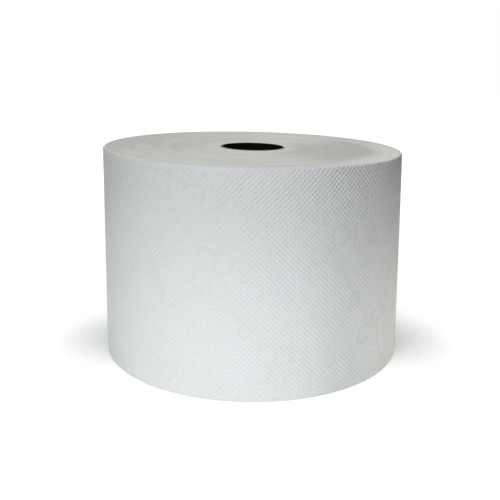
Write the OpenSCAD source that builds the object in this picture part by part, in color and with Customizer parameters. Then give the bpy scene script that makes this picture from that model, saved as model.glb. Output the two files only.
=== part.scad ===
// Centrefeed toilet roll: one wide, flat roll of embossed paper wound on a card tube.
// The roll stands on its lower end. The origin is the centre of that end, +Z runs up the axis,
// and -Y is the side that faces the viewer. All sizes are in millimetres.

/* [Roll] */
// Diameter of the wound roll
roll_d = 200; // [160:1:240]
// Width of the paper web, which is the height of the roll at its axis
web_w = 136; // [100:1:180]
// Slant of the upper end, which is lowest on the +X side
end_slant = 0.95; // [0:0.05:2]
// How far in from the wall the rounding of a rim reaches
rim_w = 1.6; // [0.8:0.1:3]
// How far down from the end the rounding of a rim reaches
rim_h = 3; // [1:0.1:5]

/* [Turns] */
// Number of turns drawn on each end, each standing for the many thin ones that lie together there
end_turns = 7; // [3:1:9]
// Share of each drawn turn that lies low
low_share = 0.45; // [0.25:0.01:0.6]
// Depth of the low turns below the plane of the end
low_depth = 0.5; // [0.1:0.05:1]
// Width of the flat ring outside the drawn turns, which carries the roll
rest_w = 6; // [3:0.5:12]
// Height of the step at the free edge of the outer turn
tail_step = 0.4; // [0.2:0.05:0.8]
// Angle over which the loose end of the outer turn settles on the turn below
tail_fade = 80; // [40:5:85]
// Column of flowers that the free edge of the outer turn comes after
tail_col = 6; // [0:1:17]

/* [Pressed flowers] */
// Width of a flower along the wall
flower_w = 27; // [16:1:28]
// Height of a flower
flower_h = 24; // [16:1:28]
// Depth of a flower below the wall
flower_depth = 0.5; // [0.2:0.05:0.8]
// Depth of the notch between two petals, as a share of the petal's reach
petal_notch = 0.42; // [0.2:0.02:0.6]
// Number of columns of flowers around the wall
flower_cols = 18; // [12:1:18]
// Distance from one flower to the next in a column
flower_rise = 123; // [90:1:160]
// How many such distances the flowers drop in one trip around the wall
flower_drops = 8; // [1:1:12]
// Angle of the first column, counter-clockwise from +X
flower_az = -63.7; // [-180:0.1:180]
// Height of the flower in the first column
flower_z = 88; // [0:1:136]

/* [Core] */
// Bore of the core
core_bore_d = 42; // [30:0.5:60]
// Wall of the core
core_wall = 1; // [0.6:0.1:2]
// Radial gap between the core and the first turn
core_gap = 0.05; // [0.02:0.01:0.1]

/* [Hidden] */

$fn = 96;

paper_color = "#e9eaea";
board_color = "#8a7359";

wall_r = roll_d / 2;
core_r = core_bore_d / 2;
core_outer_r = core_r + core_wall;
first_turn_r = core_outer_r + core_gap;

// Cutting shapes run this far past the surfaces that they cut
over = 4;
// How far past the free edge of the outer turn the rounding of a rim begins
rim_over = 0.04;
// Straight steps that make up the rounding of a rim
rim_steps = 3;

// Angle and drop from one column of flowers to the next
flower_pitch = 360 / flower_cols;
flower_drop = flower_rise * flower_drops / flower_cols;
// Corner points of one flower's outline
flower_points = 20;
// Least height of plain paper between a flower and the rim
flower_margin = rim_h;
// Drop of the upper end from the axis to its lowest point
slant_drop = wall_r * tan(end_slant);

// Direction of the free edge of the outer turn
tail_az = flower_az + flower_pitch * (tail_col + 0.5);

// Plain paper left between the core and the first drawn turn
turn_start_gap = 1.5;
// Corner points of one drawn turn
turn_points = 36;
// Angle over which the low turns run out at their two ends
turn_taper = 120;
// Drawn turns of unequal width: a share of their pitch, and the waves in it along all the turns
turn_shift = 0.14;
turn_waves = 11;

turn_last = end_turns * turn_points;
turn_pitch = (wall_r - rim_w - rest_w - first_turn_r - turn_start_gap) / (end_turns + low_share);
function turn_angle(p) = 360 * p / turn_points;
function low_inner(p) =
    first_turn_r + turn_start_gap
        + turn_pitch * (p / turn_points + turn_shift * sin(turn_waves * 360 * p / turn_last));
function low_outer(p) =
    low_inner(p)
        + turn_pitch * low_share * min(1, turn_angle(p) / turn_taper, turn_angle(turn_last - p) / turn_taper);

// Outline of the low turns on an end: a spiral that ends at the free edge of the outer turn
module low_turns() {
    rotate([0, 0, tail_az]) polygon(concat(
        [for (p = [0:turn_last]) low_outer(p) * [cos(turn_angle(p)), sin(turn_angle(p))]],
        [for (p = [turn_last - 1:-1:1]) low_inner(p) * [cos(turn_angle(p)), sin(turn_angle(p))]]));
}

// Profile of one end, as radius and height, with the plane of the end at zero
function end_profile() =
    let (deep = -web_w - 2 * slant_drop - over, far = wall_r + tail_step + over)
    concat(
        [[0, deep], [far, deep], [far, -rim_h]],
        [for (s = [0:rim_steps])
            let (a = 90 * s / rim_steps)
            [wall_r - rim_w + (rim_w + tail_step + rim_over) * cos(a), rim_h * (sin(a) - 1)]],
        [[0, 0]]);

// Solid below one end of the roll: all that the low turns and the rounded rim leave of it
module under_end() {
    difference() {
        rotate_extrude() polygon(end_profile());
        translate([0, 0, -low_depth]) linear_extrude(height = low_depth + over) low_turns();
    }
}

module seat_upper_end() {
    translate([0, 0, web_w]) rotate([0, end_slant, 0]) children();
}

module seat_lower_end() {
    mirror([0, 0, 1]) children();
}

// The wall of wound turns, with the loose end of the outer turn as a crescent before its free edge
module wound_wall(inset = 0) {
    shift = tail_step / (1 - cos(tail_fade));
    tall = web_w + slant_drop + 2 * over;
    translate([0, 0, -over]) {
        cylinder(r = wall_r - inset, h = tall);
        intersection() {
            translate(shift * [cos(tail_az), sin(tail_az), 0])
                cylinder(r = wall_r - inset - shift * cos(tail_fade), h = tall);
            rotate([0, 0, tail_az - 90]) cube([wall_r + over, wall_r + over, tall]);
        }
    }
}

// Outline of a flower with four petals
module flower_outline() {
    polygon([for (p = [0:flower_points - 1])
        let (a = 360 * p / flower_points, reach = 1 - petal_notch * (0.5 - 0.5 * cos(4 * a)))
        [reach * cos(a) * flower_w / 2, reach * sin(a) * flower_h / 2]]);
}

// Every flower that the two rims leave whole
module flowers() {
    low = flower_h / 2 + flower_margin;
    high = web_w - slant_drop - flower_h / 2 - flower_margin;
    rows = ceil(web_w / flower_rise);
    for (col = [0:flower_cols - 1]) {
        z_col = flower_z - col * flower_drop;
        first = z_col - flower_rise * floor(z_col / flower_rise);
        for (row = [0:rows]) {
            z = first + row * flower_rise;
            if (z >= low && z <= high)
                rotate([0, 0, flower_az + col * flower_pitch])
                    translate([wall_r - over, 0, z])
                        rotate([90, 0, 90])
                            linear_extrude(height = 2 * over) flower_outline();
        }
    }
}

// The wound web, all its turns one solid
module paper_roll() {
    color(paper_color)
    difference() {
        intersection() {
            wound_wall();
            seat_upper_end() under_end();
            seat_lower_end() under_end();
        }
        translate([0, 0, -over])
            cylinder(r = first_turn_r, h = web_w + 3 * over);
        difference() {
            flowers();
            wound_wall(flower_depth);
        }
    }
}

// The card tube, cut off flush with both ends of the web
module core() {
    tall = web_w + core_outer_r * tan(end_slant) + over;
    color(board_color)
    difference() {
        cylinder(r = core_outer_r, h = tall);
        translate([0, 0, -over]) cylinder(r = core_r, h = tall + 2 * over);
        seat_upper_end()
            translate([-roll_d, -roll_d, 0]) cube([2 * roll_d, 2 * roll_d, tall]);
    }
}

paper_roll();
core();
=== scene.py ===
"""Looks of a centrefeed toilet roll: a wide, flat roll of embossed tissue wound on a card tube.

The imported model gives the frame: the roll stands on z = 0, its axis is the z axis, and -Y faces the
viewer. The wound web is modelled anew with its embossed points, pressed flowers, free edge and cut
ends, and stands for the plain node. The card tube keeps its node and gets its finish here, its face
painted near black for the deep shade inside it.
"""

import bpy
import numpy as np
from math import cos, pi, radians, sin, sqrt, tan
from mathutils import Matrix, Vector


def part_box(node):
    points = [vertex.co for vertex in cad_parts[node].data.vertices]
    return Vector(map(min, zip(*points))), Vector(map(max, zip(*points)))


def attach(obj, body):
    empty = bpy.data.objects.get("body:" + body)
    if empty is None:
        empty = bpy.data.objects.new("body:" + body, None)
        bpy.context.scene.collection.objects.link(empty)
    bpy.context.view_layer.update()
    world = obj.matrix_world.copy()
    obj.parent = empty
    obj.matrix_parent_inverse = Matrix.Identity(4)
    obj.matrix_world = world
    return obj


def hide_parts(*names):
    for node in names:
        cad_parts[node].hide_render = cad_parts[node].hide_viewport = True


MM = 0.001

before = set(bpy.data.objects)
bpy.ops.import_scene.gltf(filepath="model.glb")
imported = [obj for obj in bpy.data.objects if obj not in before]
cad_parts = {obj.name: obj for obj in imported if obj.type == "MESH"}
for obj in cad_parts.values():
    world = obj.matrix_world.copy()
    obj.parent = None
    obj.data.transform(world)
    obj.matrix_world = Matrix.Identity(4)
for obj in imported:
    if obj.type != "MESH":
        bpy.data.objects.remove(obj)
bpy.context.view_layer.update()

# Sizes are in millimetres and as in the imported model, apart from the rims, which are finer here
ROLL_R = -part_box("paper_roll")[0].x / MM
CORE_OUTER_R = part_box("core")[1].x / MM
WEB_W = 136.0
CORE_GAP = 0.05
BORE_R = CORE_OUTER_R + CORE_GAP
END_SLANT = radians(0.95)
# Rounding of a rim: how far it reaches in and along the wall
RIM_W = 0.9
RIM_H = 1.6
# Width of the flat ring that the roll stands on
REST_W = 6.0

# Free edge of the outer turn: its step, and the angle over which it settles on the turn below
TAIL_AZ = radians(66.3)
TAIL_STEP = 0.4
TAIL_FADE = radians(80)
# Half the angle of the narrow face that the step itself takes up
TAIL_EDGE = 0.0008

# Embossed points stand in a square lattice turned by 45 degrees, 2.2 mm from one to the next.
# A centred cell of the lattice is 2.2 mm times the root of two, and a whole number goes round.
POINT_PITCH = 2.2
CELLS_ROUND = round(2 * pi * ROLL_R / (POINT_PITCH * sqrt(2)))
CELL_H = POINT_PITCH * sqrt(2)
# Rows of vertices in the height of a cell, and the height of a point
ROWS_IN_CELL = 4
POINT_H = 0.28

# Pressed flowers, within 2 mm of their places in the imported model: their columns, the place of the
# first one, the distance from one to the next in a column, and how many such distances they drop in
# one trip around the wall
FLOWER_COLS = 18
FLOWER_AZ = radians(-63.1)
FLOWER_Z = 90.0
FLOWER_RISE = 123.0
FLOWER_DROPS = 8
FLOWER_DROP = FLOWER_RISE * FLOWER_DROPS / FLOWER_COLS
FLOWER_STEP = 2 * pi * ROLL_R / FLOWER_COLS


def linear(hex_colour):
    """An sRGB hex colour as the linear RGBA that shaders take."""
    channels = [int(hex_colour[i:i + 2], 16) / 255 for i in (1, 3, 5)]
    return [c / 12.92 if c <= 0.04045 else ((c + 0.055) / 1.055) ** 2.4 for c in channels] + [1.0]


def smooth_step(low, high, value):
    """0 below low, 1 above high, and a smooth rise between them."""
    t = np.clip((value - low) / (high - low), 0, 1)
    return t * t * (3 - 2 * t)


# Shape of the wound web

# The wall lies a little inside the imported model's, so that its waves stay within it
WALL_INSET = 0.2
# Waves around the wall: height, number in one trip, phase, and how it climbs with each millimetre up
WALL_WAVES = ((0.12, 2, 0.6, 0.0), (0.08, 3, 0.0, 1 / 40))
# How far below the upper end the wall's rows begin to follow the slant
SLANT_REACH = 44.0
# Waves in the cut ends: distance from one to the next, depth, and where they start in turns
END_WAVES = ((9.6, 0.07, 0.2), (5.3, 0.06, 0.55), (3.1, 0.045, 0.85))
# The lower end shows them this many times as deep, as it has fewer rings of faces
LOWER_END_DEPTH = 2
# Where they fade out: beyond the bore, and inside the wall
END_FADE_BORE = 3.0
END_FADE_WALL = (7.0, 2.0)
# Flat edge between the rim and the waves of the upper end
UPPER_EDGE_W = 0.9
# The first turn at the bore: its width, and how far its upper end lies below the rest
FIRST_TURN_W = 1.0
FIRST_TURN_DROP = 0.3
# Rings of vertices on the lower end, the upper end and the bore
LOWER_RINGS = 15
UPPER_RINGS = 88
BORE_RINGS = 7


def crescent(azimuth):
    """How far the loose end of the outer turn stands off the turn below."""
    before_edge = (TAIL_AZ - azimuth) % (2 * pi)
    shift = TAIL_STEP / (1 - cos(TAIL_FADE))
    off = shift * (np.cos(before_edge) - cos(TAIL_FADE))
    return np.where(before_edge < TAIL_FADE, np.maximum(off, 0), 0)


def curve_points(start, bend, end, count=9):
    """Points along a curved stem that leaves start towards bend and arrives at end from it."""
    t = np.linspace(0, 1, count)[:, None]
    start, bend, end = np.array(start), np.array(bend), np.array(end)
    return (1 - t) ** 2 * start + 2 * t * (1 - t) * bend + t ** 2 * end


def distance_to_line(x, y, points):
    """Least distance from each place to a line through the points."""
    best = np.full(x.shape, 1e9)
    for (ax, ay), (bx, by) in zip(points[:-1], points[1:]):
        length2 = (bx - ax) ** 2 + (by - ay) ** 2
        t = np.clip(((x - ax) * (bx - ax) + (y - ay) * (by - ay)) / length2, 0, 1)
        best = np.minimum(best, np.hypot(x - ax - t * (bx - ax), y - ay - t * (by - ay)))
    return best


# Places of the pressed motif, from the middle of a flower along the wall and then up. A petal has
# its turn in degrees, and a leaf has its two half sizes and its turn. A petal's own half sizes follow.
PETALS = ((6.4, 6.0, 42), (-3.0, 7.4, 112), (-7.0, -4.0, 208), (3.2, -8.0, 292))
PETAL_LONG = 6.6
PETAL_WIDE = 5.2
LEAVES = ((15.4, 5.4, 3.4, 2.6, 20), (34.6, 0.6, 3.4, 5.0, 70), (-16.0, 21.0, 3.0, 4.4, -30))
STEMS = (
    curve_points((9.0, -13.0), (13.0, -29.0), (29.0, -44.0)),
    curve_points((20.0, 33.0), (28.0, 22.0), (34.6, 6.0)),
)
# Half width of a stem
STEM_W = 1.0
# Half the width and height that one motif takes up, with room to spare
MOTIF_HALF_W = 48
MOTIF_HALF_H = 55
# Depths of a petal's face, of the outline around it and of a stem
PETAL_DEPTH = 0.12
OUTLINE_DEPTH = 0.18
STEM_DEPTH = 0.12
# Where the outline lies, as a share of the petal's reach, and its half width
OUTLINE_AT = 0.97
OUTLINE_W = 0.6
# Where the plain paper ends, as shares of a petal's reach and of a stem's half width
PETAL_EDGE = (0.92, 1.12)
STEM_EDGE = (0.7, 1.4)
# How plain a stem is, and how much of a line it makes
STEM_PLAIN = 0.7
STEM_LINE = 0.5


def pressed(arc, height):
    """Pressed motif along one row of the wall: how plain the paper is, its depth and outlines."""
    plain = np.zeros(arc.shape)
    depth = np.zeros(arc.shape)
    line = np.zeros(arc.shape)
    lap = 2 * pi * ROLL_R
    for col in range(FLOWER_COLS):
        flower_arc = FLOWER_AZ * ROLL_R + col * FLOWER_STEP
        x = (arc - flower_arc + lap / 2) % lap - lap / 2
        near = np.abs(x) < MOTIF_HALF_W
        # A motif whose flower lies past an end still reaches onto the wall
        for row in range(-1, 3):
            y = height - (FLOWER_Z - col * FLOWER_DROP) % FLOWER_RISE - row * FLOWER_RISE
            if abs(y) < MOTIF_HALF_H and near.any():
                for whole, part in zip((plain, depth, line), motif(x[near], y)):
                    whole[near] = np.maximum(whole[near], part)
    return plain, depth, line


def motif(x, y):
    """One flower with its leaves and stems: plainness, depth and outlines."""
    plain = np.zeros(x.shape)
    depth = np.zeros(x.shape)
    line = np.zeros(x.shape)
    petals = [(cx, cy, PETAL_LONG, PETAL_WIDE, turn) for cx, cy, turn in PETALS]
    for cx, cy, long_r, wide_r, turn in petals + list(LEAVES):
        a = radians(turn)
        along = (x - cx) * cos(a) + (y - cy) * sin(a)
        across = (y - cy) * cos(a) - (x - cx) * sin(a)
        reach = np.hypot(along / long_r, across / wide_r)
        inside = 1 - smooth_step(*PETAL_EDGE, reach)
        groove = np.exp(-((reach - OUTLINE_AT) * wide_r / OUTLINE_W) ** 2)
        plain = np.maximum(plain, inside)
        depth = np.maximum(depth, PETAL_DEPTH * inside + OUTLINE_DEPTH * groove)
        line = np.maximum(line, groove)
    for stem in STEMS:
        off = distance_to_line(x, y, stem)
        groove = np.exp(-(off / STEM_W) ** 2)
        plain = np.maximum(plain, STEM_PLAIN * (1 - smooth_step(*STEM_EDGE, off / STEM_W)))
        depth = np.maximum(depth, STEM_DEPTH * groove)
        line = np.maximum(line, STEM_LINE * groove)
    return plain, depth, line


class Rings:
    """Closed rings of vertices, one after another, with triangles between neighbours."""

    def __init__(self):
        self.places = []
        self.plain = []
        self.line = []
        self.azimuths = []
        self.starts = []
        self.kinds = []
        self.count = 0

    def add(self, azimuth, radius, height, kind, plain=0.0, line=0.0):
        """Adds a ring from azimuths in rising order, with a radius and a height at each."""
        radius = np.broadcast_to(radius, azimuth.shape)
        height = np.broadcast_to(height, azimuth.shape)
        ring = np.stack([radius * np.cos(azimuth), radius * np.sin(azimuth), height], 1)
        self.places.append(ring * MM)
        self.plain.append(np.broadcast_to(plain, azimuth.shape))
        self.line.append(np.broadcast_to(line, azimuth.shape))
        self.azimuths.append(azimuth)
        self.starts.append(self.count)
        self.kinds.append(kind)
        self.count += len(azimuth)

    def triangles(self):
        """Triangles between each ring and the next, and between the last ring and the first."""
        faces = []
        kinds = []
        for here in range(len(self.azimuths)):
            there = (here + 1) % len(self.azimuths)
            band = self.band(here, there)
            faces.extend(band)
            kinds.extend([self.kinds[here]] * len(band))
        return faces, kinds

    def band(self, here, there):
        """Triangles between two rings: each step goes along the ring that lags behind."""
        a = self.azimuths[here]
        b = self.azimuths[there]
        start_a = self.starts[here]
        start_b = self.starts[there]
        i = 0
        j = 0
        band = []
        while i < len(a) or j < len(b):
            now_a = start_a + i % len(a)
            now_b = start_b + j % len(b)
            next_a = a[i + 1] if i + 1 < len(a) else a[0] + 2 * pi
            next_b = b[j + 1] if j + 1 < len(b) else b[0] + 2 * pi
            if j == len(b) or (i < len(a) and next_a <= next_b + 1e-9):
                band.append((now_a, start_a + (i + 1) % len(a), now_b))
                i += 1
            else:
                band.append((now_a, start_b + (j + 1) % len(b), now_b))
                j += 1
        return band


def web_azimuths(columns, stagger=0.0):
    """Azimuths of one ring, from just past the free edge of the outer turn to just before it."""
    inner = (np.arange(columns) + stagger) * 2 * pi / columns
    inner = inner[inner > 2 * TAIL_EDGE]
    return TAIL_AZ + np.concatenate([[TAIL_EDGE], inner, [2 * pi - TAIL_EDGE]])


def end_relief(radius, azimuth):
    """Depth of the cut end below its plane: turns lie a little high or low, in a spiral."""
    turn = azimuth / (2 * pi)
    relief = 0.0
    for pitch, depth, phase in END_WAVES:
        relief = relief + depth * (0.5 + 0.5 * np.sin(2 * pi * (radius / pitch - turn + phase)))
    start, end = END_FADE_WALL
    from_bore = smooth_step(BORE_R, BORE_R + END_FADE_BORE, radius)
    return relief * from_bore * (1 - smooth_step(ROLL_R - start, ROLL_R - end, radius))


def wound_web():
    """The wound web as one closed mesh."""
    rings = Rings()
    columns = 2 * CELLS_ROUND
    end_columns = CELLS_ROUND
    slope = tan(END_SLANT)

    # Lower end, from the bore out to the rim
    azimuth = web_azimuths(end_columns)
    for radius in np.linspace(BORE_R, ROLL_R - RIM_W - REST_W, LOWER_RINGS):
        rings.add(azimuth, radius, LOWER_END_DEPTH * end_relief(radius, azimuth), "end")
    rings.add(azimuth, ROLL_R - RIM_W - REST_W / 2, 0.0, "end")

    # Wall with its two rounded rims
    rim_angles = np.radians([0, 22.5, 45, 67.5])
    levels = [(RIM_H * (1 - cos(a)), RIM_W * (1 - sin(a))) for a in rim_angles]
    row_h = CELL_H / ROWS_IN_CELL
    first_row = int(np.ceil(RIM_H / row_h))
    last_row = int(np.floor((WEB_W - RIM_H) / row_h))
    rows = [(row * row_h, 0.0, row) for row in range(first_row, last_row + 1)]
    lower_rim = [(z, inset, None) for z, inset in levels]
    upper_rim = [(WEB_W - z, inset, None) for z, inset in reversed(levels)]
    for height, inset, row in lower_rim + rows + upper_rim:
        odd = row is not None and row % 2 == 1
        azimuth = web_azimuths(columns, 0.5 if odd else 0.0)
        plain, depth, line = pressed(azimuth * ROLL_R, height)
        points = 0.0
        if row is not None and not odd:
            points = np.cos((azimuth - TAIL_AZ) * CELLS_ROUND) * cos(2 * pi * height / CELL_H)
        relief = POINT_H * (0.5 * points - 0.5) * (1 - plain) - (depth if row is not None else 0)
        wave = sum(
            high * np.sin(number * azimuth + phase + climb * height)
            for high, number, phase, climb in WALL_WAVES
        )
        radius = ROLL_R - WALL_INSET - inset + crescent(azimuth) + relief + wave
        rise = smooth_step(WEB_W - SLANT_REACH, WEB_W, height) if height < WEB_W else 1.0
        level = height - rise * radius * np.cos(azimuth) * slope
        # The free edge takes the pressed lines' painted shade, as a painted shadow along its step
        line[0] = 1.0
        rings.add(azimuth, radius, level, "wall", plain, line)

    # Upper end, from the rim in to the bore
    azimuth = web_azimuths(end_columns)
    for radius in np.linspace(ROLL_R - RIM_W - UPPER_EDGE_W, BORE_R + FIRST_TURN_W, UPPER_RINGS):
        height = WEB_W - radius * np.cos(azimuth) * slope - end_relief(radius, azimuth)
        rings.add(azimuth, radius, height, "end")
    height = WEB_W - FIRST_TURN_DROP - BORE_R * np.cos(azimuth) * slope
    rings.add(azimuth, BORE_R, height, "end")

    # Bore, down to the lower end
    for height in np.linspace(WEB_W * 0.9, WEB_W * 0.1, BORE_RINGS):
        rings.add(azimuth, BORE_R, height, "end")

    faces, kinds = rings.triangles()
    mesh = bpy.data.meshes.new("wound_web")
    mesh.from_pydata(np.concatenate(rings.places).tolist(), [], faces)
    for name, values in (("plain_paper", rings.plain), ("painted_line_shade", rings.line)):
        attribute = mesh.attributes.new(name, "FLOAT", "POINT")
        attribute.data.foreach_set("value", np.concatenate(values).astype(np.float32))
    mesh.polygons.foreach_set("material_index", [0 if kind == "wall" else 1 for kind in kinds])
    mesh.polygons.foreach_set("use_smooth", [True] * len(faces))
    mesh.update()
    web = bpy.data.objects.new("wound_web", mesh)
    bpy.context.scene.collection.objects.link(web)
    return web


# Materials

# Sockets of a Mix node that mixes colours
MIX_A = 6
MIX_B = 7
MIX_RESULT = 2

# Points lie in rows that rise and rows that fall, and the rising rows stand out a little more
RISING_SHARE = 0.6
FALLING_SHARE = 0.4
# Sharpness of the points and their depth in the bump
POINT_SHARP = 2.4
EMBOSS_DEPTH = 0.42
# The points are weaker and stronger from patch to patch: the size of a patch, the part of the noise
# that is used, and the least and the most that it makes of a point
PATCH_SIZE = 5.0
PATCH_LOW = 0.35
PATCH_HIGH = 0.65
PATCH_LEAST = 0.4
PATCH_MOST = 1.5
# Side of the wall where the key light grazes: its middle and half width. There the points and petals are
# pressed harder in the bump, and the painted shade between the points and along the lines is stronger.
GRAZED_SIDE_AZ = radians(-22)
GRAZED_SIDE_HALF = radians(53)
# Strength of the points, and of the petals and lines, in the bump and in the painted shade, away from that
# side and on it
POINT_SOFT = 0.95
POINT_HARD = 1.7
PETAL_SOFT = 0.4
PETAL_HARD = 0.9
# Crepe wrinkles and fibres are finer than a pixel, and are drawn as coarse as they need to show
CREPE_SIZE = 1.2
CREPE_DEPTH = 0.16
# Rows of points wander a little: over what length, and by how much of their phase
WANDER_SIZE = 22.0
WANDER = 2.2
# Tissue's own tone and a darker one, and how much of the darker one is used: as painted shade between
# the points and along a pressed line or the free edge, and a little on a petal's face
TISSUE = "#f2f6f6"
TISSUE_SHADE = "#d9dddd"
GAP_SHADE = 0.5
LINE_SHADE = 0.36
PETAL_SHADE = 0.06
# Cut edges of the turns: drawn 0.9 mm apart, where the real ones lie 0.1 mm apart
TURN_SIZE = 0.9
TURN_DEPTH = 0.06
# Rings and bands that many turns make together
RING_SIZE = 2.4
BAND_SIZE = 7.0
# How long each layer of rings runs on around the axis: a higher number gives shorter arcs
TURN_AROUND = 5.0
RING_AROUND = 2.6
BAND_AROUND = 1.1
# How much darker rings and turns look than bands do, and the sums that give the two tones
RING_SHARE = 1.2
TURN_SHARE = 1.0
EDGES_LIGHT_AT = 0.6
EDGES_DARK_AT = 2.6
EDGES = "#f3f4ef"
EDGES_SHADE = "#cacbc5"
# Sectors of the ends with painted shade, or painted light where the share is below 0: middle, half width,
# the radii between which it starts and between which it ends, and how much darker it looks
SHADED_SECTORS = (
    (radians(-12), radians(64), 24, 34, 74, 86, 1.05),
    (radians(150), radians(80), 24, 40, 110, 120, 0.55),
    (radians(-15), radians(45), 76, 92, 110, 120, -1.1),
)
# Board strip of the tube: its rise up the tube for each trip around, the share of that in which the
# seam fades out, its fibres, and the depth of both in the bump
STRIP_RISE = 62.0
SEAM_SHARE = 0.02
FIBRE_SIZE = 0.8
FIBRE_SHARE = 0.3
BOARD_DEPTH = 0.2
# Tones of the board's face and seam, painted near black for the deep shade inside the tube
BOARD_SHADE_DARK = "#0a0704"
BOARD_SHADE_LIGHT = "#19110b"
BOARD_SEAM = "#060403"
# A cut end faces up or down more than this, and shows the paler inside of the board
CUT_FACING = 0.7
BOARD_CUT = "#c9c1ae"

# White that the camera sees on the floor on top of the lamps' light: near the roll and far away,
# where 1 alone is white. Distances from the roll's foot are in metres.
FLOOR_WHITE = "#f4f4f4"
FLOOR_LIFT_NEAR = 0.66
FLOOR_LIFT_FAR = 1.0
FLOOR_NEAR = 0.2
FLOOR_FAR = 0.7
# Soft shade painted on the floor at either side of the roll: how much white it takes away, how far it
# lies to the right, and how far it reaches in, out and along, in metres
SIDE_SHADE = 0.45
SIDE_SHADE_SHIFT = 0.003
SIDE_SHADE_IN = 0.008
SIDE_SHADE_OUT = 0.062
SIDE_SHADE_ALONG = 0.044


def add_node(tree, kind, inputs=None, **settings):
    """Adds a node with its settings, feeds each input a value or an output, and gives its outputs."""
    node = tree.nodes.new(kind)
    for name, value in settings.items():
        setattr(node, name, value)
    for name, value in (inputs or {}).items():
        if isinstance(value, bpy.types.NodeSocket):
            tree.links.new(value, node.inputs[name])
        else:
            node.inputs[name].default_value = value
    return node.outputs


def new_material(name, roughness):
    """An empty node material with the roughness that the viewport shows."""
    material = bpy.data.materials.new(name)
    material.use_nodes = True
    material.node_tree.nodes.clear()
    material.roughness = roughness
    return material, material.node_tree


def around_axis(tree, place):
    """Distance from the roll's axis, and the direction from it, at each place."""
    flat = add_node(
        tree, "ShaderNodeVectorMath", {0: place, 1: (1.0, 1.0, 0.0)}, operation="MULTIPLY"
    )["Vector"]
    radius = add_node(tree, "ShaderNodeVectorMath", {0: flat}, operation="LENGTH")["Value"]
    towards = add_node(tree, "ShaderNodeVectorMath", {0: flat}, operation="NORMALIZE")["Vector"]
    return radius, towards


def sector(tree, towards, middle, half):
    """1 in the middle of a sector around the axis, and a smooth fall to 0 at its two sides."""
    facing = add_node(
        tree, "ShaderNodeVectorMath", {0: towards, 1: (cos(middle), sin(middle), 0.0)},
        operation="DOT_PRODUCT",
    )["Value"]
    return add_node(
        tree, "ShaderNodeMapRange", {"Value": facing, "From Min": cos(half)},
        interpolation_type="SMOOTHSTEP",
    )[0]


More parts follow.
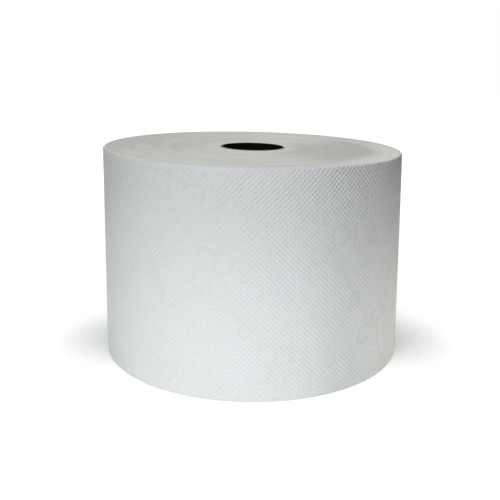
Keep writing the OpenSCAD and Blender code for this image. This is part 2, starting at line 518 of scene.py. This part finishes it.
def embossed_tissue():
    """Dry-creped tissue embossed between steel rolls: matt, soft white, small points, plain petals."""
    material, tree = new_material("embossed_tissue", 0.85)
    place = add_node(tree, "ShaderNodeTexCoord")["Object"]
    xyz = add_node(tree, "ShaderNodeSeparateXYZ", {0: place})
    azimuth = add_node(tree, "ShaderNodeMath", {0: xyz["Y"], 1: xyz["X"]}, operation="ARCTAN2")[0]
    from_edge = add_node(tree, "ShaderNodeMath", {0: azimuth, 1: TAIL_AZ}, operation="SUBTRACT")[0]
    wander = add_node(
        tree, "ShaderNodeTexNoise", {"Vector": place, "Scale": 1 / (WANDER_SIZE * MM), "Detail": 1.0}
    )["Fac"]
    wander = add_node(tree, "ShaderNodeMath", {0: wander, 1: WANDER}, operation="MULTIPLY")[0]
    up = add_node(
        tree, "ShaderNodeMath", {0: xyz["Z"], 1: 2 * pi / (CELL_H * MM), 2: wander},
        operation="MULTIPLY_ADD",
    )[0]
    down = add_node(tree, "ShaderNodeMath", {0: up, 1: -1.0}, operation="MULTIPLY")[0]
    cells = float(CELLS_ROUND)
    fall = add_node(tree, "ShaderNodeMath", {0: from_edge, 1: cells, 2: up}, operation="MULTIPLY_ADD")[0]
    rise = add_node(tree, "ShaderNodeMath", {0: from_edge, 1: cells, 2: down}, operation="MULTIPLY_ADD")[0]
    fall = add_node(tree, "ShaderNodeMath", {0: fall}, operation="COSINE")[0]
    rise = add_node(tree, "ShaderNodeMath", {0: rise}, operation="COSINE")[0]
    fall = add_node(tree, "ShaderNodeMath", {0: fall, 1: FALLING_SHARE}, operation="MULTIPLY")[0]
    points = add_node(
        tree, "ShaderNodeMath", {0: rise, 1: RISING_SHARE, 2: fall}, operation="MULTIPLY_ADD"
    )[0]
    points = add_node(tree, "ShaderNodeMapRange", {"Value": points, "From Min": -1.0})[0]
    points = add_node(tree, "ShaderNodeMath", {0: points, 1: POINT_SHARP}, operation="POWER")[0]

    # The points fade where the petals are pressed plain, and vary from patch to patch
    plain = add_node(tree, "ShaderNodeAttribute", attribute_name="plain_paper")["Fac"]
    patches = add_node(
        tree, "ShaderNodeTexNoise",
        {"Vector": place, "Scale": 1 / (PATCH_SIZE * MM), "Detail": 3.0, "Roughness": 0.75},
    )["Fac"]
    strength = add_node(
        tree, "ShaderNodeMapRange",
        {
            "Value": patches,
            "From Min": PATCH_LOW,
            "From Max": PATCH_HIGH,
            "To Min": PATCH_LEAST,
            "To Max": PATCH_MOST,
        },
    )[0]
    towards = around_axis(tree, place)[1]
    side = sector(tree, towards, GRAZED_SIDE_AZ, GRAZED_SIDE_HALF)
    harder_and_shadier = add_node(
        tree, "ShaderNodeMapRange", {"Value": side, "To Min": POINT_SOFT, "To Max": POINT_HARD}
    )[0]
    strength = add_node(tree, "ShaderNodeMath", {0: strength, 1: harder_and_shadier}, operation="MULTIPLY")[0]
    clear = add_node(
        tree, "ShaderNodeMapRange", {"Value": side, "To Min": PETAL_SOFT, "To Max": PETAL_HARD}
    )[0]
    plain = add_node(tree, "ShaderNodeMath", {0: plain, 1: clear}, operation="MULTIPLY")[0]
    covered = add_node(tree, "ShaderNodeMath", {0: 1.0, 1: plain}, operation="SUBTRACT")[0]
    strength = add_node(tree, "ShaderNodeMath", {0: strength, 1: covered}, operation="MULTIPLY")[0]
    embossed = add_node(tree, "ShaderNodeMath", {0: points, 1: strength}, operation="MULTIPLY")[0]

    # Painted shade between the points and along the pressed outlines and the free edge, stronger on the
    # grazed side, and a slightly darker face on the petals
    line = add_node(tree, "ShaderNodeAttribute", attribute_name="painted_line_shade")["Fac"]
    line = add_node(tree, "ShaderNodeMath", {0: line, 1: clear}, operation="MULTIPLY")[0]
    gap = add_node(
        tree, "ShaderNodeMapRange", {"Value": embossed, "To Min": GAP_SHADE, "To Max": 0.0}
    )[0]
    # The painted shade between the points is stronger on the grazed side
    gap = add_node(tree, "ShaderNodeMath", {0: gap, 1: harder_and_shadier}, operation="MULTIPLY")[0]
    dim = add_node(tree, "ShaderNodeMath", {0: line, 1: LINE_SHADE, 2: gap}, operation="MULTIPLY_ADD")[0]
    dim = add_node(tree, "ShaderNodeMath", {0: plain, 1: PETAL_SHADE, 2: dim}, operation="MULTIPLY_ADD")[0]
    colour = add_node(
        tree, "ShaderNodeMix",
        {0: dim, MIX_A: linear(TISSUE), MIX_B: linear(TISSUE_SHADE)}, data_type="RGBA",
    )[MIX_RESULT]

    crepe = add_node(
        tree, "ShaderNodeTexNoise", {"Vector": place, "Scale": 1 / (CREPE_SIZE * MM), "Detail": 3.0}
    )["Fac"]
    relief = add_node(
        tree, "ShaderNodeMath", {0: crepe, 1: CREPE_DEPTH / EMBOSS_DEPTH, 2: embossed},
        operation="MULTIPLY_ADD",
    )[0]
    bump = add_node(
        tree, "ShaderNodeBump", {"Height": relief, "Strength": 1.0, "Distance": EMBOSS_DEPTH * MM}
    )[0]
    shader = add_node(
        tree, "ShaderNodeBsdfPrincipled",
        {
            "Base Color": colour,
            "Normal": bump,
            "Roughness": 0.85,
            "IOR": 1.5,
            "Specular IOR Level": 0.25,
        },
    )[0]
    add_node(tree, "ShaderNodeOutputMaterial", {"Surface": shader})
    return material


def cut_tissue_edges():
    """Slit edges of the wound turns: denser and a little warmer than the face, in fine rings."""
    material, tree = new_material("cut_tissue_edges", 0.9)
    place = add_node(tree, "ShaderNodeTexCoord")["Object"]
    radius, towards = around_axis(tree, place)

    # Noise that is fine along the radius and long around the axis
    layers = []
    for size, around, detail in (
        (TURN_SIZE, TURN_AROUND, 2.0),
        (RING_SIZE, RING_AROUND, 2.0),
        (BAND_SIZE, BAND_AROUND, 1.0),
    ):
        out = add_node(tree, "ShaderNodeMath", {0: radius, 1: 1 / (size * MM)}, operation="MULTIPLY")[0]
        out = add_node(tree, "ShaderNodeCombineXYZ", {"Z": out})[0]
        vector = add_node(
            tree, "ShaderNodeVectorMath", {0: towards, 1: (around, around, 0.0), 2: out},
            operation="MULTIPLY_ADD",
        )["Vector"]
        layers.append(add_node(
            tree, "ShaderNodeTexNoise", {"Vector": vector, "Scale": 1.0, "Detail": detail}
        )["Fac"])
    turns, rings, bands = layers

    # Painted shade and painted light in sectors of the ends, added to the bands' mottle
    mottle_and_shade = bands
    for middle, half, low, high, fall_low, fall_high, share in SHADED_SECTORS:
        side = sector(tree, towards, middle, half)
        rise = add_node(
            tree, "ShaderNodeMapRange",
            {"Value": radius, "From Min": low * MM, "From Max": high * MM},
            interpolation_type="SMOOTHSTEP",
        )[0]
        fall = add_node(
            tree, "ShaderNodeMapRange",
            {
                "Value": radius,
                "From Min": fall_low * MM,
                "From Max": fall_high * MM,
                "To Min": share,
                "To Max": 0.0,
            },
            interpolation_type="SMOOTHSTEP",
        )[0]
        sector_shade = add_node(tree, "ShaderNodeMath", {0: rise, 1: fall}, operation="MULTIPLY")[0]
        mottle_and_shade = add_node(
            tree, "ShaderNodeMath", {0: sector_shade, 1: side, 2: mottle_and_shade}, operation="MULTIPLY_ADD"
        )[0]
    for layer, share in ((rings, RING_SHARE), (turns, TURN_SHARE)):
        mottle_and_shade = add_node(
            tree, "ShaderNodeMath", {0: layer, 1: share, 2: mottle_and_shade}, operation="MULTIPLY_ADD"
        )[0]
    dark = add_node(
        tree, "ShaderNodeMapRange",
        {"Value": mottle_and_shade, "From Min": EDGES_LIGHT_AT, "From Max": EDGES_DARK_AT},
    )[0]
    colour = add_node(
        tree, "ShaderNodeMix",
        {0: dark, MIX_A: linear(EDGES), MIX_B: linear(EDGES_SHADE)}, data_type="RGBA",
    )[MIX_RESULT]
    bump = add_node(
        tree, "ShaderNodeBump", {"Height": turns, "Strength": 1.0, "Distance": TURN_DEPTH * MM}
    )[0]
    shader = add_node(
        tree, "ShaderNodeBsdfPrincipled",
        {
            "Base Color": colour,
            "Normal": bump,
            "Roughness": 0.9,
            "IOR": 1.5,
            "Specular IOR Level": 0.2,
        },
    )[0]
    add_node(tree, "ShaderNodeOutputMaterial", {"Surface": shader})
    return material


def wound_board():
    """Recycled board wound in a spiral: matt, painted near black as shade in the tube, paler where it is
    cut.
    """
    material, tree = new_material("wound_board", 0.85)
    place = add_node(tree, "ShaderNodeTexCoord")["Object"]
    xyz = add_node(tree, "ShaderNodeSeparateXYZ", {0: place})
    azimuth = add_node(tree, "ShaderNodeMath", {0: xyz["Y"], 1: xyz["X"]}, operation="ARCTAN2")[0]
    trip = add_node(tree, "ShaderNodeMath", {0: azimuth, 1: 1 / (2 * pi)}, operation="MULTIPLY")[0]
    strip = add_node(
        tree, "ShaderNodeMath", {0: xyz["Z"], 1: 1 / (STRIP_RISE * MM), 2: trip},
        operation="MULTIPLY_ADD",
    )[0]
    strip = add_node(tree, "ShaderNodeMath", {0: strip}, operation="FRACT")[0]
    seam = add_node(
        tree, "ShaderNodeMapRange", {"Value": strip, "From Min": 0.0, "From Max": SEAM_SHARE}
    )[0]
    fibres = add_node(
        tree, "ShaderNodeTexNoise",
        {"Vector": place, "Scale": 1 / (FIBRE_SIZE * MM), "Detail": 4.0, "Roughness": 0.6},
    )["Fac"]
    face = add_node(
        tree, "ShaderNodeMix",
        {0: fibres, MIX_A: linear(BOARD_SHADE_DARK), MIX_B: linear(BOARD_SHADE_LIGHT)}, data_type="RGBA",
    )[MIX_RESULT]
    face = add_node(
        tree, "ShaderNodeMix", {0: seam, MIX_A: linear(BOARD_SEAM), MIX_B: face}, data_type="RGBA"
    )[MIX_RESULT]

    # The cut ends face up and down
    normal = add_node(tree, "ShaderNodeNewGeometry")["Normal"]
    upright = add_node(tree, "ShaderNodeSeparateXYZ", {0: normal})["Z"]
    upright = add_node(tree, "ShaderNodeMath", {0: upright}, operation="ABSOLUTE")[0]
    cut = add_node(tree, "ShaderNodeMath", {0: upright, 1: CUT_FACING}, operation="GREATER_THAN")[0]
    colour = add_node(
        tree, "ShaderNodeMix", {0: cut, MIX_A: face, MIX_B: linear(BOARD_CUT)}, data_type="RGBA"
    )[MIX_RESULT]
    relief = add_node(
        tree, "ShaderNodeMath", {0: fibres, 1: FIBRE_SHARE, 2: seam}, operation="MULTIPLY_ADD"
    )[0]
    bump = add_node(
        tree, "ShaderNodeBump", {"Height": relief, "Strength": 1.0, "Distance": BOARD_DEPTH * MM}
    )[0]
    shader = add_node(
        tree, "ShaderNodeBsdfPrincipled",
        {
            "Base Color": colour,
            "Normal": bump,
            "Roughness": 0.85,
            "IOR": 1.5,
            "Specular IOR Level": 0.04,
        },
    )[0]
    add_node(tree, "ShaderNodeOutputMaterial", {"Surface": shader})
    return material


def seen_directly(tree):
    """1 where the camera, a reflection or a look through glass sees a surface, and 0 for other light."""
    ray = add_node(tree, "ShaderNodeLightPath")
    seen = add_node(
        tree, "ShaderNodeMath", {0: ray["Is Camera Ray"], 1: ray["Is Glossy Ray"]}, operation="MAXIMUM"
    )[0]
    return add_node(
        tree, "ShaderNodeMath", {0: seen, 1: ray["Is Transmission Ray"]}, operation="MAXIMUM"
    )[0]


def studio_floor():
    """White paper sweep: the camera sees it white, the roll's soft shadow stays on it, and shade is
    painted beside the roll.
    """
    material, tree = new_material("studio_floor", 1.0)
    place = add_node(tree, "ShaderNodeTexCoord")["Object"]
    xyz = add_node(tree, "ShaderNodeSeparateXYZ", {0: place})
    distance = add_node(tree, "ShaderNodeVectorMath", {0: place}, operation="LENGTH")["Value"]
    lift = add_node(
        tree, "ShaderNodeMapRange",
        {
            "Value": distance,
            "From Min": FLOOR_NEAR,
            "From Max": FLOOR_FAR,
            "To Min": FLOOR_LIFT_NEAR,
            "To Max": FLOOR_LIFT_FAR,
        },
        interpolation_type="SMOOTHSTEP",
    )[0]
    # Painted shade at either side of the roll, taken off the white that the camera sees
    out = add_node(tree, "ShaderNodeMath", {0: xyz["X"], 1: SIDE_SHADE_SHIFT}, operation="SUBTRACT")[0]
    out = add_node(tree, "ShaderNodeMath", {0: out}, operation="ABSOLUTE")[0]
    beside = add_node(
        tree, "ShaderNodeMapRange",
        {
            "Value": out,
            "From Min": ROLL_R * MM - SIDE_SHADE_IN,
            "From Max": ROLL_R * MM + SIDE_SHADE_OUT,
            "To Min": SIDE_SHADE,
            "To Max": 0.0,
        },
        interpolation_type="SMOOTHSTEP",
    )[0]
    along = add_node(tree, "ShaderNodeMath", {0: xyz["Y"], 1: SIDE_SHADE_ALONG}, operation="DIVIDE")[0]
    fade = add_node(tree, "ShaderNodeMath", {0: along, 1: along}, operation="MULTIPLY")[0]
    fade = add_node(tree, "ShaderNodeMath", {0: fade, 1: -1.0}, operation="MULTIPLY")[0]
    fade = add_node(tree, "ShaderNodeMath", {0: fade}, operation="EXPONENT")[0]
    shade = add_node(tree, "ShaderNodeMath", {0: beside, 1: fade}, operation="MULTIPLY")[0]
    lift = add_node(tree, "ShaderNodeMath", {0: lift, 1: shade}, operation="SUBTRACT")[0]
    strength = add_node(
        tree, "ShaderNodeMath", {0: seen_directly(tree), 1: lift}, operation="MULTIPLY"
    )[0]
    matt = add_node(tree, "ShaderNodeBsdfDiffuse", {"Color": linear(FLOOR_WHITE)})[0]
    glow = add_node(tree, "ShaderNodeEmission", {"Color": (1, 1, 1, 1), "Strength": strength})[0]
    both = add_node(tree, "ShaderNodeAddShader", {0: matt, 1: glow})[0]
    add_node(tree, "ShaderNodeOutputMaterial", {"Surface": both})
    return material


# Pieces

web = wound_web()
web.data.materials.append(embossed_tissue())
web.data.materials.append(cut_tissue_edges())
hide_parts("paper_roll")
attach(web, "root")

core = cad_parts["core"]
board = wound_board()
core.data.materials.clear()
core.data.materials.append(board)

# Floor, in metres: half its side, and how far below the roll it lies, so that the two don't flicker
FLOOR_HALF = 3.0
FLOOR_DROP = 0.0001

corners = ((-1, -1), (1, -1), (1, 1), (-1, 1))
floor_mesh = bpy.data.meshes.new("floor")
floor_mesh.from_pydata(
    [(x * FLOOR_HALF, y * FLOOR_HALF, -FLOOR_DROP) for x, y in corners], [], [(0, 1, 2, 3)]
)
floor = bpy.data.objects.new("floor", floor_mesh)
bpy.context.scene.collection.objects.link(floor)
floor_mesh.materials.append(studio_floor())

# Camera: the frame's side, the focal length and the row of the lens's axis, in pixels
FRAME_PX = 500
FOCAL_PX = 723.8
AXIS_ROW_PX = 171
SENSOR_MM = 36
# Place of the lens, from radii of the roll to metres, and how far it is tipped down and rolled
CAMERA_AT = (-0.0167 * ROLL_R * MM, -4.893 * ROLL_R * MM, 1.9592 * ROLL_R * MM)
CAMERA_DOWN = radians(8.932)
CAMERA_ROLL = radians(0.38)


def studio_camera():
    """Camera at the height and distance at which the roll looks as it should, tipped down a little."""
    data = bpy.data.cameras.new("camera")
    data.sensor_width = SENSOR_MM
    data.lens = FOCAL_PX / FRAME_PX * SENSOR_MM
    data.shift_y = (AXIS_ROW_PX - FRAME_PX / 2) / FRAME_PX
    camera = bpy.data.objects.new("camera", data)
    tip = Matrix.Rotation(pi / 2 - CAMERA_DOWN, 4, "X")
    camera.matrix_world = Matrix.Translation(CAMERA_AT) @ tip @ Matrix.Rotation(CAMERA_ROLL, 4, "Z")
    bpy.context.scene.collection.objects.link(camera)
    bpy.context.scene.camera = camera


studio_camera()

# Light, in metres and degrees: what the lamps face, and the level of the sky
AIM = Vector((0, 0, 0.07))
SKY_LEVEL = 0.06
# Low strip lamps: what they face, how far off they are, their size and the spread of their beam
LOW_AIM = Vector((0, 0, 0.02))
LOW_DISTANCE = 0.9
LOW_SIZE = (0.5, 0.03)
LOW_SPREAD = 18


def soft_lamp(name, azimuth, elevation, distance, size, energy, aim=AIM, colour="#ffffff", spread=180):
    """Area lamp that faces aim. Azimuth 0 is the viewer's side, and 90 is the right."""
    data = bpy.data.lights.new(name, "AREA")
    data.shape = "RECTANGLE"
    data.size, data.size_y = size
    data.energy = energy
    data.color = linear(colour)[:3]
    data.spread = radians(spread)
    turn = radians(azimuth)
    rise = radians(elevation)
    away = Vector((sin(turn) * cos(rise), -cos(turn) * cos(rise), sin(rise)))
    lamp = bpy.data.objects.new(name, data)
    lamp.location = aim + away * distance
    lamp.rotation_euler = away.to_track_quat("Z", "Y").to_euler()
    lamp.visible_camera = False
    bpy.context.scene.collection.objects.link(lamp)


def feathered_strip(name, azimuth, energy, colour="#ffffff"):
    """Low strip lamp with a narrow beam: it lights the foot of the wall and fades out up the wall."""
    soft_lamp(name, azimuth, 0, LOW_DISTANCE, LOW_SIZE, energy, LOW_AIM, colour, LOW_SPREAD)


soft_lamp("key", -18, 20, 1.4, (0.8, 0.8), 7.9)
soft_lamp("overhead", 0, 90, 0.33, (0.1, 0.9), 0.66)
soft_lamp("back", 180, 12, 1.4, (0.8, 0.8), 1.3, spread=70)
feathered_strip("low_left", -60, 0.044)
feathered_strip("low_front_right", 30, 0.053)
feathered_strip("low_right", 120, 0.1, "#fff8e8")

world = bpy.data.worlds.new("studio")
bpy.context.scene.world = world
world.use_nodes = True
sky = world.node_tree
level = add_node(sky, "ShaderNodeMath", {0: seen_directly(sky), 1: SKY_LEVEL}, operation="MAXIMUM")[0]
background = sky.nodes["Background"]
background.inputs["Color"].default_value = (1, 1, 1, 1)
sky.links.new(level, background.inputs["Strength"])

scene = bpy.context.scene
scene.view_settings.view_transform = "Standard"
